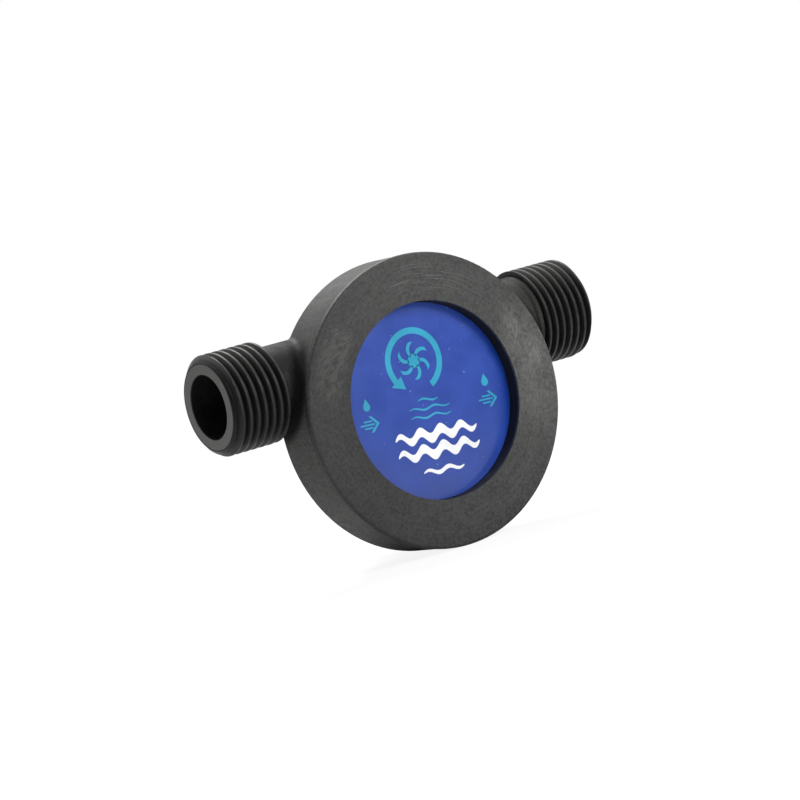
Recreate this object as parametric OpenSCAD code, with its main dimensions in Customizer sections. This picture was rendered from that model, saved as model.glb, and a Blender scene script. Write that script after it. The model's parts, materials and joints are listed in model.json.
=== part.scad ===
// Drill powered pump: a hand-sized flexible-impeller pump that an electric drill turns.
// Two ports stand in line on the upper half of a round housing. A rubber impeller sweeps
// water from the inlet, along the bottom of the chamber, to the outlet. A cam between the
// ports bends each vane flat, which closes the way back.
// X runs along the ports from inlet to outlet, +Y is the drill's side and +Z is up.
// The origin is on the shaft's axis, where the length for the drill's chuck starts.
// Depths are counted from the front face of the cover's ring towards the drill.

/* [Front cover] */
// Width of the broad ring round the label
ring_w = 9.93; // [9:0.01:14]
// Depth of the recess below the ring's face
recess_depth = 3.6; // [2:0.1:4.5]
// Thickness of the panel behind the label
panel_t = 1.7; // [1.2:0.1:4]
// Thickness of the rim that laps over the body's front edge
rim_t = 1; // [0.8:0.1:2]
// Rounding of the ring's outer front edge
rim_round = 0.7; // [0.2:0.1:0.8]
// Thickness of the round label
label_t = 0.25; // [0.1:0.05:0.6]

/* [Body] */
// Width of the plain side wall behind the ring
side_w = 10.6; // [9.8:0.1:16]
// Thickness of that side wall
side_wall = 2; // [1.4:0.1:2.4]
// Thickness of the web between the side wall and the chamber
web_t = 3.4; // [2.4:0.1:5]
// Thickness of the wall round the chamber
drum_wall = 2.6; // [2:0.1:3.4]
// Width of the channel for the screws, between that wall and the side wall
channel_w = 5.3; // [4.6:0.1:8]
// Thickness of the chamber's rear wall
rear_wall = 3; // [2:0.1:4]
// Rounding of the drum's rear edge
drum_round = 2; // [0.5:0.1:2.4]
// Diameter of the bearing hub where it leaves the rear wall
hub_root_d = 22; // [20:0.2:26]
// Diameter of the bearing hub at its end
hub_end_d = 16.8; // [14:0.2:19]
// Number of gussets that brace the bearing hub
gusset_n = 6; // [3:1:8]
// Thickness of a gusset or rib
rib_t = 1.6; // [1:0.1:2.4]

/* [Ports] */
// Length over both port ends
port_span = 89.8; // [84:0.2:110]
// How far a port's bore lies below the top of the chamber
port_drop = 3.15; // [2.4:0.05:4.4]
// Diameter of a port's bore
port_bore_d = 13.4; // [11:0.1:13.4]
// Outer diameter of the port's pipe thread
thread_d = 20.955; // [20.6:0.005:21.3]
// Distance between two crests of the thread
thread_pitch = 1.814; // [1.6:0.001:1.9]
// Length of the threaded stretch
thread_len = 13.9; // [9:0.1:14.4]
// Diameter of the plain neck behind the thread
neck_d = 17.7; // [16:0.1:17.8]
// Chamfer of the port's end
port_chamfer = 0.35; // [0.1:0.05:0.8]

/* [Chamber] */
// Diameter of the pumping chamber
chamber_d = 40.4; // [36:0.2:48]
// Depth of the pumping chamber
chamber_w = 13.4; // [13.4:0.1:16]
// Thickness of a wear plate
plate_t = 0.5; // [0.3:0.1:1]
// How far the cam stands in from the chamber's wall
cam_lift = 3; // [1.6:0.1:3.4]
// Height of the cam's two ends
cam_edge = 0.5; // [0.3:0.1:0.9]
// Half of the angle that the cam covers
cam_half_angle = 30; // [26:1:32]
// Angle that each of the cam's ramps takes
cam_ramp_angle = 17; // [12:1:22]

/* [Impeller] */
// Number of vanes
vane_n = 8; // [6:1:9]
// How far a straight vane would reach past the chamber's wall
vane_press = 0.8; // [0.4:0.1:1.2]
// Diameter of the rubber hub that carries the vanes
impeller_hub_d = 18; // [16:0.2:19]
// Diameter of the bead along each vane's tip
bead_d = 3.4; // [2.4:0.1:3.6]
// Thickness of a vane at its root
vane_root_t = 2.6; // [2:0.1:3.2]
// Thickness of a vane next to its bead
vane_tip_t = 1.5; // [1.1:0.1:1.9]
// Angle of the first vane's root, counted from the outlet's side
vane_start = 14; // [0:1:44]
// Diameter of the metal bush in the impeller
insert_d = 12; // [10.6:0.2:13]
// Diameter of the cross pin that drives the bush
pin_d = 2.4; // [1.6:0.1:2.6]

/* [Drive shaft] */
// Diameter of the shaft
shaft_d = 6.35; // [5:0.05:6.6]
// Length of plain shaft for the drill's chuck
chuck_len = 24; // [18:0.5:40]
// Chamfer of the shaft's ends
shaft_chamfer = 1; // [0.3:0.1:1.4]
// Depth of a clip's groove
groove_depth = 0.65; // [0.4:0.05:0.8]
// Thickness of a retaining clip
clip_t = 0.7; // [0.5:0.1:1]
// Diameter of the rear retaining clip
rear_clip_d = 12; // [10.6:0.2:13]
// Diameter of the front retaining clip
front_clip_d = 9.8; // [9:0.2:10]
// Thickness of the thrust washer
washer_t = 0.6; // [0.4:0.1:1.2]
// Diameter of the thrust washer
washer_d = 14.4; // [12:0.2:15]

/* [Bearings and seals] */
// Outer diameter of the plain bushings
bush_d = 9.53; // [8.6:0.01:10]
// Length of a bushing
bush_len = 5; // [4:0.1:8]
// Free length between the two bushings
bush_spacing = 1.5; // [0.5:0.1:4]
// Diameter of the rear bushing's flange
bush_flange_d = 12.4; // [11:0.2:13.6]
// Thickness of the rear bushing's flange
bush_flange_t = 0.8; // [0.5:0.1:1.2]
// Outer diameter of the shaft seal
seal_d = 15.9; // [15:0.1:16.4]
// Width of the shaft seal
seal_w = 4.76; // [4.4:0.01:6]
// Thickness of the seal's metal case
seal_case_t = 0.7; // [0.4:0.05:0.8]
// Wire diameter of the seal's garter spring
garter_d = 1.1; // [0.8:0.1:1.2]
// Width of the cover's round seal, squeezed
oring_w = 2.1; // [1.8:0.05:2.2]
// Thickness of the cover's round seal, squeezed
oring_t = 1.4; // [1:0.05:1.5]

/* [Screws] */
// Distance of the two top screws' heads from the ports' necks
top_screw_gap = 1.35; // [0.6:0.05:2]
// Height of those necks above the lower screws' heads
side_screw_gap = 6.65; // [3:0.05:9]
// Diameter of a cover screw's shank
screw_d = 2.8; // [2.2:0.1:2.9]
// Length of a cover screw's shank
screw_len = 9.3; // [7.6:0.1:9.4]
// Diameter of a screw's head
screw_head_d = 5.4; // [4.6:0.1:5.6]
// Height of a screw's head
screw_head_h = 1.8; // [1.4:0.1:2.2]
// Diameter of the boss under each cover screw
screw_boss_d = 6; // [5.6:0.1:6.4]
// Diameter of the cam screw's shank
cam_screw_d = 2.9; // [2.2:0.1:3]
// Thickness of the seal washer under the cam screw
cam_washer_t = 0.5; // [0.4:0.1:1]

/* [Hidden] */
$fn = 96;
// Clearance of pieces that are pressed or pushed together
push_gap = 0.03;
// Radial clearance of the shaft in its bushings and its seal
run_gap = 0.05;
// Clearance of pieces that pass each other with the impeller's turn
side_gap = 0.15;
// Clearance of the label in its recess
label_gap = 0.12;
// Clearance of the cover in the body and of the screws in their holes
slip_gap = 0.12;
// Overrun of a cut past the face that it opens
over = 1;
// How far the body's wall stands back from the ring
body_step = 0.13;
// Bevel of the body along the parting line
seam_bevel = 0.2;
// Material left under the ring's face by a blind screw hole
blind_wall = 1.35;
// Depth of a screw boss below the side wall's rear edge
boss_drop = 0.5;
// Depth of the ribs below the side wall's rear edge
rib_drop = 0.8;
// Shoulder between the shaft seal and the front bushing
shoulder_t = 1;
// Clearance of the shaft where nothing bears on it
shaft_free = 0.6;
// Depth of the front clip's pocket in the impeller
clip_pocket = 2;
// Length of shaft in front of the front clip
shaft_nose = 0.9;
// Distance of the cross pin's axis from the bush's rear face
pin_inset = 2.3;
// Slack of a clip in its groove
groove_slack = 0.05;
// Pipe thread, as shares of its pitch: its depth, its flat crests and roots, and the lead-in
thread_depth_share = 0.6403;
thread_flat_share = 1 / 6;
thread_lead_share = 0.68;
// Drive slots of the screw heads
slot_w = 0.8;
slot_depth = 0.9;
// Height of the pad under the cam screw above the drum
cam_pad_h = 1;
// Depth of the cam screw in the cam
cam_screw_bite = 2.2;
// Gusset length along the hub, as a share of the free hub, and its reach across the rear wall
gusset_len_share = 0.62;
gusset_reach_share = 0.9;
// Place of the seal's garter spring: across the seal from the shaft, and back from its front
garter_reach_share = 0.45;
garter_depth_share = 0.32;
// Samples along a vane and along the cam, and the search for a vane's bend
vane_steps = 8;
cam_steps = 24;
bend_max = 150;
bend_passes = 22;

// Radii, from the chamber outwards
chamber_r = chamber_d / 2;
drum_r = chamber_r + drum_wall;
skirt_r = drum_r + channel_w;
plug_r = skirt_r - slip_gap;
body_r = skirt_r + side_wall;
ring_r = body_r + body_step;
recess_r = ring_r - ring_w;
shaft_r = shaft_d / 2;
groove_r = shaft_r - groove_depth;
bush_r = bush_d / 2;
seal_r = seal_d / 2;
hub_end_r = hub_end_d / 2;
hub_root_r = hub_root_d / 2;
impeller_hub_r = impeller_hub_d / 2;
insert_r = insert_d / 2;
bead_r = bead_d / 2;
port_bore_r = port_bore_d / 2;
neck_r = neck_d / 2;
thread_r = thread_d / 2;
thread_root_r = thread_r - thread_depth_share * thread_pitch;
screw_circle_r = (drum_r + skirt_r) / 2;
oring_r = (chamber_r + screw_circle_r - screw_d / 2) / 2;

// Depths from the ring's face, front to back
joint_f = recess_depth + panel_t;
side_f = rim_t + side_w;
web_f = joint_f + web_t;
floor_f = joint_f + chamber_w;
port_f = joint_f + chamber_w / 2;
drum_f = floor_f + rear_wall;
seal_f = floor_f + seal_w;
front_bush_f = seal_f + shoulder_t;
rear_bush_f = front_bush_f + bush_len + bush_spacing;
hub_f = rear_bush_f + bush_len;
washer_f = hub_f + bush_flange_t + side_gap;
rear_clip_f = washer_f + washer_t;
origin_f = rear_clip_f + clip_t + groove_slack;
shaft_end_f = origin_f + chuck_len + shaft_chamfer;
impeller_f0 = joint_f + plate_t + side_gap;
impeller_f1 = floor_f - plate_t - side_gap;
insert_f = impeller_f0 + clip_pocket;
shaft_nose_f = insert_f - clip_t - groove_slack - shaft_nose;
pin_f = impeller_f1 - pin_inset;
boss_f = side_f - boss_drop;
cam_screw_f = (side_f + drum_f) / 2;
port_end = port_span / 2;
thread_foot = port_end - thread_len + thread_root_r - neck_r;
crest_w = thread_flat_share * thread_pitch;
first_crest = port_end - thread_lead_share * thread_pitch - crest_w / 2;
crest_n = floor((first_crest - thread_foot) / thread_pitch + thread_flat_share / 2) + 1;
port_rise = chamber_r - port_drop - port_bore_r;

// Two screws sit above the ports and four are spread evenly below them, with ribs between
top_angle = 90;
top_screw_angle = asin((port_rise + neck_r + screw_head_d / 2 + top_screw_gap) / screw_circle_r);
side_screw_angle = asin((port_rise - neck_r - screw_head_d / 2 - side_screw_gap) / screw_circle_r);
screw_step = (top_angle + side_screw_angle) / 3;
screw_angles = concat([top_screw_angle, 2 * top_angle - top_screw_angle],
                      [for (k = [-3, -1, 1, 3]) -top_angle + k * screw_step]);
rib_angles = concat([top_angle], [for (k = [-2, 0, 2]) -top_angle + k * screw_step]);

// Height of the cam's face above the chamber's wall at an angle seen from the front
function clamp01(t) = max(0, min(1, t));
function smooth(t) = t * t * (3 - 2 * t);
function cam_rise(a) =
    let (t = clamp01((cam_half_angle - abs(a - top_angle)) / cam_ramp_angle))
    cam_edge + (cam_lift - cam_edge) * smooth(t);
function cam_point(a) = (chamber_r - cam_rise(a)) * [cos(a), sin(a)];
cam_face = [for (i = [0:cam_steps])
    cam_point(top_angle + cam_half_angle * (2 * i / cam_steps - 1))];

// A vane is a strip that starts square on the hub and bends by an even curve against the turn.
// Its length is that of the free impeller, so the bend follows from the wall that it meets.
vane_len = chamber_r + vane_press - bead_r - impeller_hub_r;
function vane_along(s, bend) = impeller_hub_r + vane_len * sin(s * bend) / (bend * PI / 180);
function vane_aside(s, bend) = -vane_len * (1 - cos(s * bend)) / (bend * PI / 180);
function turned_by(p, a) = [p[0] * cos(a) - p[1] * sin(a), p[0] * sin(a) + p[1] * cos(a)];
function vane_point(s, bend, root) = turned_by([vane_along(s, bend), vane_aside(s, bend)], root);
function vane_slack(bend, root) =
    let (tip = vane_point(1, bend, root))
    min(chamber_r - norm(tip), min([for (p = cam_face) norm(p - tip)])) - bead_r - side_gap;
// The least bend that keeps the bead clear of the wall and the cam, by halving
function vane_bend(root, low = 1, high = bend_max, pass = 0) =
    pass == bend_passes ? high :
    let (mid = (low + high) / 2)
    vane_slack(mid, root) > 0 ? vane_bend(root, low, mid, pass + 1)
                              : vane_bend(root, mid, high, pass + 1);

// Solids

// A shape drawn as seen from the front, between two depths
module plate(f0, f1) {
    translate([0, f1 - origin_f, 0])
        rotate([90, 0, 0])
            linear_extrude(height = f1 - f0)
                children();
}

// A profile of radius and depth, turned about the shaft's axis
module turned() {
    translate([0, -origin_f, 0])
        rotate([-90, 0, 0])
            rotate_extrude()
                children();
}

// A profile of radius and distance from the middle, turned about the ports' axis
module along_port(side) {
    translate([0, port_f - origin_f, port_rise])
        rotate([0, side * 90, 0])
            rotate_extrude()
                children();
}

module ring_shape(outer, inner) {
    difference() {
        circle(r = outer);
        circle(r = inner);
    }
}

module at_angles(angles, radius) {
    for (a = angles)
        rotate(a)
            translate([radius, 0])
                children();
}

// What a rounding takes off the outer front corner of a profile
module front_corner(r, f, rounding) {
    difference() {
        translate([r - rounding, f - over])
            square([rounding + over, rounding + over]);
        translate([r - rounding, f + rounding])
            circle(r = rounding);
    }
}

module front_cover() {
    color([0.28, 0.28, 0.27])
        difference() {
            turned()
                difference() {
                    union() {
                        square([ring_r, rim_t]);
                        square([plug_r, joint_f]);
                    }
                    translate([0, -over])
                        square([recess_r, recess_depth + over]);
                    front_corner(ring_r, 0, rim_round);
                    translate([oring_r - oring_w / 2 - push_gap, joint_f - oring_t])
                        square([oring_w + 2 * push_gap, oring_t + over]);
                }
            plate(blind_wall, joint_f + over)
                at_angles(screw_angles, screw_circle_r)
                    circle(d = screw_d + push_gap);
        }
}

module front_label() {
    color([0.2, 0.31, 0.63])
        plate(recess_depth - label_t, recess_depth)
            circle(r = recess_r - label_gap);
}

module cover_seal() {
    color([0.08, 0.08, 0.08])
        turned()
            translate([oring_r, joint_f - oring_t / 2])
                intersection() {
                    circle(d = oring_w);
                    square([oring_w, oring_t], center = true);
                }
}

// Outside of the body about the shaft's axis: side wall, web, drum and bearing hub
module body_outside() {
    turned()
        difference() {
            union() {
                polygon([
                    [0, rim_t],
                    [body_r - seam_bevel, rim_t],
                    [body_r, rim_t + seam_bevel],
                    [body_r, side_f],
                    [skirt_r, side_f],
                    [skirt_r, web_f],
                    [0, web_f]
                ]);
                square([drum_r, drum_f - drum_round]);
                square([drum_r - drum_round, drum_f]);
                translate([drum_r - drum_round, drum_f - drum_round])
                    circle(r = drum_round);
                polygon([
                    [0, drum_f],
                    [hub_root_r, drum_f],
                    [hub_end_r, hub_f - seam_bevel],
                    [hub_end_r - seam_bevel, hub_f],
                    [0, hub_f]
                ]);
            }
            square([skirt_r, rim_t]);
        }
}

// Hollow of the body: cover seat, chamber, seal pocket and bearing bore
module body_hollow() {
    turned()
        polygon([
            [0, -over],
            [skirt_r, -over],
            [skirt_r, joint_f],
            [chamber_r, joint_f],
            [chamber_r, floor_f],
            [seal_r, floor_f],
            [seal_r, seal_f],
            [shaft_r + shaft_free, seal_f],
            [shaft_r + shaft_free, front_bush_f],
            [bush_r, front_bush_f],
            [bush_r, hub_f + over],
            [0, hub_f + over]
        ]);
}

// Neck and threaded stretch of one port, at the root of its thread
module port_outside(side) {
    along_port(side)
        polygon([
            [0, chamber_r / 2],
            [neck_r, chamber_r / 2],
            [neck_r, port_end - thread_len],
            [thread_root_r, thread_foot],
            [thread_root_r, port_end - port_chamfer],
            [thread_root_r - port_chamfer, port_end],
            [0, port_end]
        ]);
}

// Crests of one port's thread as rings, moulded in one with the body. The first one slopes
// down to the chamfer of the port's end.
module port_thread(side) {
    color([0.27, 0.27, 0.27])
        for (k = [0:crest_n - 1]) {
            crest = first_crest - k * thread_pitch;
            foot_w = (thread_pitch - crest_w) / 2;
            along_port(side)
                polygon([
                    [thread_root_r, crest - foot_w],
                    [thread_r, crest - crest_w / 2],
                    [thread_r, crest + crest_w / 2],
                    [thread_root_r, k == 0 ? port_end - port_chamfer : crest + foot_w]
                ]);
        }
}

module port_bore(side) {
    along_port(side)
        translate([0, chamber_r / 2])
            square([port_bore_r, port_end - chamber_r / 2 + over]);
}

// Gusset between the hub and the drum's rear wall
module gusset(a) {
    gusset_h = gusset_len_share * (hub_f - drum_f);
    rotate([0, -a, 0])
        translate([0, drum_f - origin_f, -rib_t / 2])
            linear_extrude(height = rib_t)
                polygon([
                    [bush_r + drum_wall / 2, -rear_wall / 2],
                    [gusset_reach_share * (drum_r - drum_round), -rear_wall / 2],
                    [gusset_reach_share * (drum_r - drum_round), 0],
                    [hub_end_r, gusset_h],
                    [bush_r + drum_wall / 2, gusset_h]
                ]);
}

// Flat pad on top of the drum for the cam's screw
module cam_pad() {
    translate([0, cam_screw_f - origin_f, chamber_r + drum_wall / 2])
        cylinder(d = screw_head_d + 2 * slip_gap + rib_t, h = drum_wall / 2 + cam_pad_h);
}

module pump_body() {
    color([0.27, 0.27, 0.27])
        difference() {
            union() {
                body_outside();
                port_outside(-1);
                port_outside(1);
                plate(web_f - web_t / 2, boss_f)
                    intersection() {
                        at_angles(screw_angles, screw_circle_r)
                            circle(d = screw_boss_d);
                        circle(r = skirt_r + side_wall / 2);
                    }
                plate(web_f - web_t / 2, side_f - rib_drop)
                    for (a = rib_angles)
                        rotate(a)
                            translate([drum_r - drum_wall / 2, -rib_t / 2])
                                square([skirt_r - drum_r + drum_wall, rib_t]);
                for (k = [0:gusset_n - 1])
                    gusset(top_angle + k * 360 / gusset_n);
                cam_pad();
            }
            body_hollow();
            port_bore(-1);
            port_bore(1);
            plate(joint_f - over, side_f + over)
                at_angles(screw_angles, screw_circle_r)
                    circle(d = screw_d + 2 * slip_gap);
            translate([0, cam_screw_f - origin_f, chamber_r / 2])
                cylinder(d = cam_screw_d + 2 * slip_gap, h = drum_r);
        }
}

module cam() {
    color([0.86, 0.84, 0.78])
        difference() {
            plate(joint_f + plate_t, floor_f - plate_t)
                intersection() {
                    circle(r = chamber_r - push_gap);
                    polygon(concat(cam_face, [for (k = [1, -1])
                        2 * chamber_r * [cos(top_angle + k * cam_half_angle),
                                         sin(top_angle + k * cam_half_angle)]]));
                }
            translate([0, cam_screw_f - origin_f, chamber_r - cam_screw_bite - slip_gap])
                cylinder(d = cam_screw_d + 2 * push_gap, h = drum_r);
        }
}

// Pan head with a slot, its seat at the origin and its shank towards -Z
module pan_screw(shank_d, shank_len) {
    difference() {
        union() {
            translate([0, 0, -shank_len])
                cylinder(d = shank_d, h = shank_len + screw_head_h / 2);
            intersection() {
                cylinder(d = screw_head_d, h = screw_head_h);
                translate([0, 0, screw_head_h - screw_head_d])
                    sphere(r = screw_head_d);
            }
        }
        translate([-screw_head_d, -slot_w / 2, screw_head_h - slot_depth])
            cube([2 * screw_head_d, slot_w, slot_depth + over]);
    }
}

module cover_screws() {
    color([0.72, 0.73, 0.75])
        for (a = screw_angles)
            rotate([0, -a, 0])
                translate([screw_circle_r, boss_f - origin_f, 0])
                    rotate([-90, 0, 0])
                        pan_screw(screw_d, screw_len);
}

module cam_screw() {
    color([0.72, 0.73, 0.75])
        translate([0, cam_screw_f - origin_f, drum_r + cam_pad_h + cam_washer_t])
            pan_screw(cam_screw_d, drum_wall + cam_pad_h + cam_washer_t + cam_screw_bite);
}

module cam_screw_washer() {
    color([0.08, 0.08, 0.08])
        translate([0, cam_screw_f - origin_f, drum_r + cam_pad_h])
            difference() {
                cylinder(d = screw_head_d, h = cam_washer_t);
                translate([0, 0, -over])
                    cylinder(d = cam_screw_d + 2 * push_gap, h = cam_washer_t + 2 * over);
            }
}

module front_wear_plate() {
    color([0.78, 0.79, 0.8])
        plate(joint_f, joint_f + plate_t)
            circle(r = chamber_r - slip_gap);
}

module rear_wear_plate() {
    color([0.78, 0.79, 0.8])
        plate(floor_f - plate_t, floor_f)
            ring_shape(chamber_r - slip_gap, shaft_r + shaft_free);
}

// One bent vane with its bead, from the middle of the rubber hub's wall
module vane(root) {
    bend = vane_bend(root);
    left = [for (i = [0:vane_steps]) vane_side_point(i / vane_steps, bend, root, 1)];
    right = [for (i = [vane_steps:-1:0]) vane_side_point(i / vane_steps, bend, root, -1)];
    foot = (impeller_hub_r + insert_r) / 2;
    plate(impeller_f0, impeller_f1)
        polygon(concat(left, right, [for (k = [-1, 1])
            turned_by([foot, k * vane_root_t / 2], root)]));
    plate(impeller_f0, impeller_f1)
        translate(vane_point(1, bend, root))
            circle(r = bead_r);
}

function vane_side_point(s, bend, root, side) =
    let (half = (vane_root_t + (vane_tip_t - vane_root_t) * s) / 2,
         turn = root - s * bend + side * 90)
    vane_point(s, bend, root) + half * [cos(turn), sin(turn)];

module impeller() {
    color([0.12, 0.12, 0.12])
        difference() {
            union() {
                plate(impeller_f0, impeller_f1)
                    circle(r = impeller_hub_r);
                for (k = [0:vane_n - 1])
                    vane(vane_start + k * 360 / vane_n);
            }
            plate(impeller_f0 - over, impeller_f1 + over)
                circle(r = insert_r);
        }
}

module impeller_bush() {
    color([0.78, 0.62, 0.3])
        difference() {
            plate(insert_f, impeller_f1)
                ring_shape(insert_r - push_gap, shaft_r + push_gap);
            translate([0, pin_f - origin_f, 0])
                cylinder(d = pin_d + 2 * push_gap, h = insert_d + over, center = true);
            translate([-pin_d / 2 - push_gap, pin_f - origin_f, -insert_r - over])
                cube([pin_d + 2 * push_gap, pin_inset + over, insert_d + 2 * over]);
        }
}

module drive_pin() {
    color([0.7, 0.71, 0.73])
        translate([0, pin_f - origin_f, 0])
            cylinder(d = pin_d, h = insert_d - 4 * side_gap, center = true);
}

module drive_shaft() {
    color([0.74, 0.75, 0.77])
        difference() {
            turned()
                difference() {
                    polygon([
                        [0, shaft_nose_f],
                        [shaft_r - shaft_nose / 2, shaft_nose_f],
                        [shaft_r, shaft_nose_f + shaft_nose / 2],
                        [shaft_r, shaft_end_f - shaft_chamfer],
                        [shaft_r - shaft_chamfer, shaft_end_f],
                        [0, shaft_end_f]
                    ]);
                    for (f = [insert_f, origin_f])
                        translate([groove_r, f - clip_t - groove_slack])
                            square([groove_depth + over, clip_t + groove_slack]);
                }
            translate([0, pin_f - origin_f, 0])
                cylinder(d = pin_d + 2 * push_gap, h = shaft_d + 2 * over, center = true);
        }
}

// Retaining clip with three tongues that reach into the shaft's groove
module clip_shape(outer_d) {
    relief = (outer_d / 2 - shaft_r) / 2;
    difference() {
        circle(d = outer_d);
        circle(r = groove_r + push_gap);
        translate([-groove_r - push_gap, -outer_d])
            square([2 * (groove_r + push_gap), outer_d]);
        for (a = [45, 135])
            rotate(a)
                translate([groove_r, -relief / 2])
                    square([groove_depth + relief, relief]);
    }
}

module front_clip() {
    color([0.6, 0.61, 0.63])
        plate(insert_f - clip_t, insert_f)
            clip_shape(front_clip_d);
}

module rear_clip() {
    color([0.6, 0.61, 0.63])
        plate(rear_clip_f, rear_clip_f + clip_t)
            clip_shape(rear_clip_d);
}

module thrust_washer() {
    color([0.85, 0.85, 0.83])
        plate(washer_f, rear_clip_f)
            ring_shape(washer_d / 2, shaft_r + push_gap);
}

module front_bushing() {
    color([0.66, 0.5, 0.28])
        plate(front_bush_f, front_bush_f + bush_len)
            ring_shape(bush_r - push_gap, shaft_r + run_gap);
}

module rear_bushing() {
    color([0.66, 0.5, 0.28])
        turned()
            difference() {
                union() {
                    translate([0, rear_bush_f])
                        square([bush_r - push_gap, bush_len + bush_flange_t]);
                    translate([0, hub_f])
                        square([bush_flange_d / 2, bush_flange_t]);
                }
                translate([0, rear_bush_f - over])
                    square([shaft_r + run_gap, bush_len + bush_flange_t + 2 * over]);
            }
}

// Places inside the shaft seal: the case's bore, the spring's circle and the lip
case_r = seal_r - push_gap - seal_case_t;
garter_r = shaft_r + (case_r - shaft_r) * garter_reach_share;
garter_f = floor_f + seal_w * garter_depth_share;

module seal_case() {
    color([0.7, 0.71, 0.73])
        turned()
            union() {
                translate([case_r, floor_f])
                    square([seal_case_t, seal_w]);
                translate([garter_r, seal_f - seal_case_t])
                    square([seal_r - push_gap - garter_r, seal_case_t]);
            }
}

module seal_lip() {
    lip_r = shaft_r + run_gap;
    color([0.1, 0.1, 0.1])
        turned()
            difference() {
                polygon([
                    [lip_r, garter_f],
                    [garter_r, floor_f + push_gap],
                    [garter_r + garter_d / 2, garter_f],
                    [garter_r, garter_f + garter_d],
                    [garter_r, seal_f - 2 * seal_case_t],
                    [case_r, seal_f - 2 * seal_case_t],
                    [case_r, seal_f - seal_case_t],
                    [garter_r, seal_f - seal_case_t],
                    [shaft_r + shaft_free / 2, seal_f - seal_case_t]
                ]);
                translate([garter_r + garter_d / 2, garter_f])
                    circle(d = garter_d + 2 * push_gap);
            }
}

module garter_spring() {
    color([0.8, 0.81, 0.82])
        turned()
            translate([garter_r + garter_d / 2, garter_f])
                circle(d = garter_d);
}

front_cover();
front_label();
cover_seal();
pump_body();
port_thread(-1);  // inlet_thread
port_thread(1);  // outlet_thread
cam();
cam_screw();
cam_screw_washer();
cover_screws();
front_wear_plate();
rear_wear_plate();
seal_case();
seal_lip();
garter_spring();
front_bushing();
rear_bushing();
impeller();
impeller_bush();
drive_pin();
drive_shaft();
front_clip();
rear_clip();
thrust_washer();
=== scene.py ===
import json
import math

import bmesh
import bpy
from bpy.props import FloatProperty, FloatVectorProperty, IntProperty, PointerProperty
from bpy.types import Operator, Panel, PropertyGroup
from mathutils import Matrix, Vector


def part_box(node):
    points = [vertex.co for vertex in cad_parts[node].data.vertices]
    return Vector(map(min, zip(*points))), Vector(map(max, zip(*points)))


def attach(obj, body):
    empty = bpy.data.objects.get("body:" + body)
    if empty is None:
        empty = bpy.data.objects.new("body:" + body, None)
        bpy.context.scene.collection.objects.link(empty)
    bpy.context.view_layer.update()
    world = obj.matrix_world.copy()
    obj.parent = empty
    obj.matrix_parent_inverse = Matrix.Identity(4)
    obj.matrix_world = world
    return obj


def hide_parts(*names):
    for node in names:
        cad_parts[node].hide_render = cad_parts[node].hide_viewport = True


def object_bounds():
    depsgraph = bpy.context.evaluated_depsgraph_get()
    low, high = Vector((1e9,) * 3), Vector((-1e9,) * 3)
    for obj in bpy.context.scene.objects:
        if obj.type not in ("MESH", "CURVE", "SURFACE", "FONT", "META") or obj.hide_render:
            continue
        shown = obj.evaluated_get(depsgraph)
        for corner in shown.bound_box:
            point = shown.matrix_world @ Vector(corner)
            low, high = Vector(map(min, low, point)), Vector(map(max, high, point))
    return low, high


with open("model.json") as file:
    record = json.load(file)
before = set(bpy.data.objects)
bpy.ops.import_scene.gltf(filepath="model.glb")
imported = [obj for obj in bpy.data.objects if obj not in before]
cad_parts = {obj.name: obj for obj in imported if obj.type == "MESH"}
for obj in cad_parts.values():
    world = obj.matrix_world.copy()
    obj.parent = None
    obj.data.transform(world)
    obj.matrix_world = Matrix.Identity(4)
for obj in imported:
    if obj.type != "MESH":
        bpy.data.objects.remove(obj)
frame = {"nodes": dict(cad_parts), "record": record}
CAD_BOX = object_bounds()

bl_info = {
    "name": "Drill powered pump",
    "version": (1, 0, 0),
    "blender": (4, 5, 0),
    "location": "3D View > Sidebar > Pump",
    "description": "Threads, label and finishes of a small pump that a drill turns",
    "category": "Add Mesh",
}

# Places that the packed model gives, in metres. X runs along the ports from inlet to outlet,
# +Y is the drill's side, +Z is up, and the shaft turns about the Y axis.

MM = 0.001
mounts = {mount["name"]: mount for mount in frame["record"]["mounts"]}
cover_low, cover_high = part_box("front_cover")
label_low, label_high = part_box("front_label")
body_low, body_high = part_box("pump_body")
FACE_Y = cover_low.y
RING_R = cover_high.x
LABEL_R = label_high.x
LABEL_Y = label_low.y
WALL_R = body_high.z
PORT_END = body_high.x
PORT_Y, PORT_Z = mounts["outlet_port"]["pos_m"][1:]
CREST_R = mounts["outlet_port"]["dims"]["r_mm"] * MM
FLOOR_Z = CAD_BOX[0].z

# Radius of the way through each port, in metres.
BORE_R = 6.7 * MM

# Depth of the joint behind the ring's face, and radius of the ring's middle, in millimetres.
JOINT_DEPTH = (body_low.y - FACE_Y) / MM
RING_MIDDLE = (RING_R + LABEL_R) / 2 / MM


# Settings

def length(name, default, description, low=0.0):
    """A distance in metres."""
    return FloatProperty(name=name, description=description, default=default, min=low,
                         subtype="DISTANCE", unit="LENGTH", precision=5)


def angle(name, default, description):
    """An angle, from its default in degrees."""
    return FloatProperty(name=name, description=description, default=math.radians(default),
                         subtype="ANGLE", unit="ROTATION")


def share(name, default, description):
    """A number between 0 and 1."""
    return FloatProperty(name=name, description=description, default=default, min=0.0, max=1.0,
                         subtype="FACTOR")


def amount(name, default, description):
    """A number of 0 or more."""
    return FloatProperty(name=name, description=description, default=default, min=0.0)


def colour(name, default, description):
    """A linear colour."""
    return FloatVectorProperty(name=name, description=description, default=default, size=3,
                               min=0.0, max=1.0, subtype="COLOR")


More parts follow.
